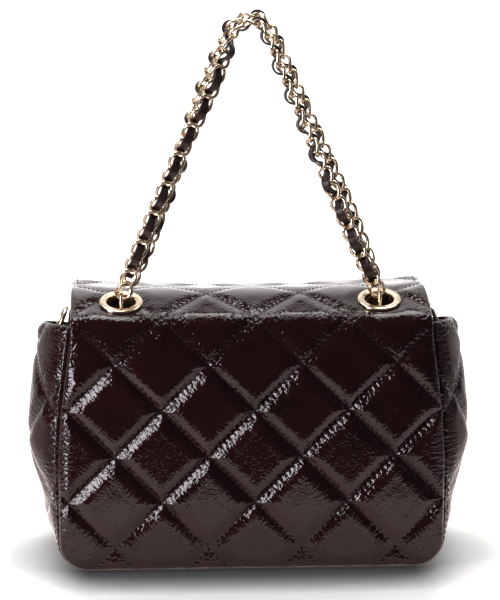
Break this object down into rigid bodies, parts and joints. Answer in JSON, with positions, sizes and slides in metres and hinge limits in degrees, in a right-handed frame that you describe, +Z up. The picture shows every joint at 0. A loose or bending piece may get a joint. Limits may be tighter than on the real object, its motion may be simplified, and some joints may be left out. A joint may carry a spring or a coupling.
{
  "type": "flap bag",
  "caption": "Small quilted patent flap bag with bulging gussets and a doubled chain handle laced with leather, raised through two eyelets.",
  "frame": {"origin": "middle of the bag's footprint, on the ground under its base", "axes": "+X to the right as the back panel is seen, +Y to the front where the flap falls, +Z up"},
  "size_m": [0.204, 0.0764, 0.2583],
  "materials": {
    "patent_leather": "high-gloss crinkled patent leather",
    "facing_leather": "smooth satin leather",
    "lining": "matt woven lining",
    "board": "grey-brown stiffening board",
    "gold_metal": "polished pale gold plating",
    "snap_metal": "satin nickel",
    "ribbon_leather": "soft leather lacing"
  },
  "bodies": {
    "bag_body": {"back_panel": "patent_leather", "shoulder_panel": "patent_leather", "shoulder_lining": "facing_leather", "front_panel": "patent_leather", "bottom_panel": "patent_leather", "base_board": "board", "interior_lining": "lining", "slip_pocket": "lining", "left_gusset": "patent_leather", "right_gusset": "patent_leather", "left_eyelet": "gold_metal", "right_eyelet": "gold_metal", "left_eyelet_washer": "gold_metal", "right_eyelet_washer": "gold_metal", "left_connector_link": "gold_metal", "right_connector_link": "gold_metal", "left_anchor_tab": "facing_leather", "right_anchor_tab": "facing_leather", "left_anchor_ring": "gold_metal", "right_anchor_ring": "gold_metal", "left_gusset_tab": "facing_leather", "right_gusset_tab": "facing_leather", "snap_socket": "snap_metal", "snap_socket_washer": "snap_metal"},
    "flap_top": {"flap_top_panel": "patent_leather", "flap_top_lining": "facing_leather"},
    "flap_drop": {"flap_drop_panel": "patent_leather", "flap_drop_lining": "facing_leather", "snap_stud": "snap_metal", "snap_stud_washer": "snap_metal"},
    "handle": {"front_chain_left": "gold_metal", "front_chain_top": "gold_metal", "front_chain_right": "gold_metal", "rear_chain_left": "gold_metal", "rear_chain_top": "gold_metal", "rear_chain_right": "gold_metal", "front_ribbon": "ribbon_leather", "rear_ribbon": "ribbon_leather"},
    "left_ring": {"left_gusset_ring": "gold_metal"},
    "right_ring": {"right_gusset_ring": "gold_metal"}
  },
  "joints": [
    {"name": "flap_hinge", "type": "hinge", "parent": "bag_body", "child": "flap_top", "pos_m": [0, -0.00602, 0.12664], "axis": [1, 0, 0], "range_deg": [0, 90]},
    {"name": "flap_fold", "type": "hinge", "parent": "flap_top", "child": "flap_drop", "pos_m": [0, 0.03306, 0.12235], "axis": [1, 0, 0], "range_deg": [0, 80]},
    {"name": "handle_swing", "type": "hinge", "parent": "bag_body", "child": "handle", "pos_m": [0, -0.0204, 0.12564], "axis": [1, 0, 0], "range_deg": [-8, 70]},
    {"name": "left_ring_swing", "type": "hinge", "parent": "bag_body", "child": "left_ring", "pos_m": [-0.09055, -0.00315, 0.1045], "axis": [0, 1, 0], "range_deg": [-28, 140]},
    {"name": "right_ring_swing", "type": "hinge", "parent": "bag_body", "child": "right_ring", "pos_m": [0.09055, -0.00315, 0.1045], "axis": [0, -1, 0], "range_deg": [-28, 140]}
  ]
}
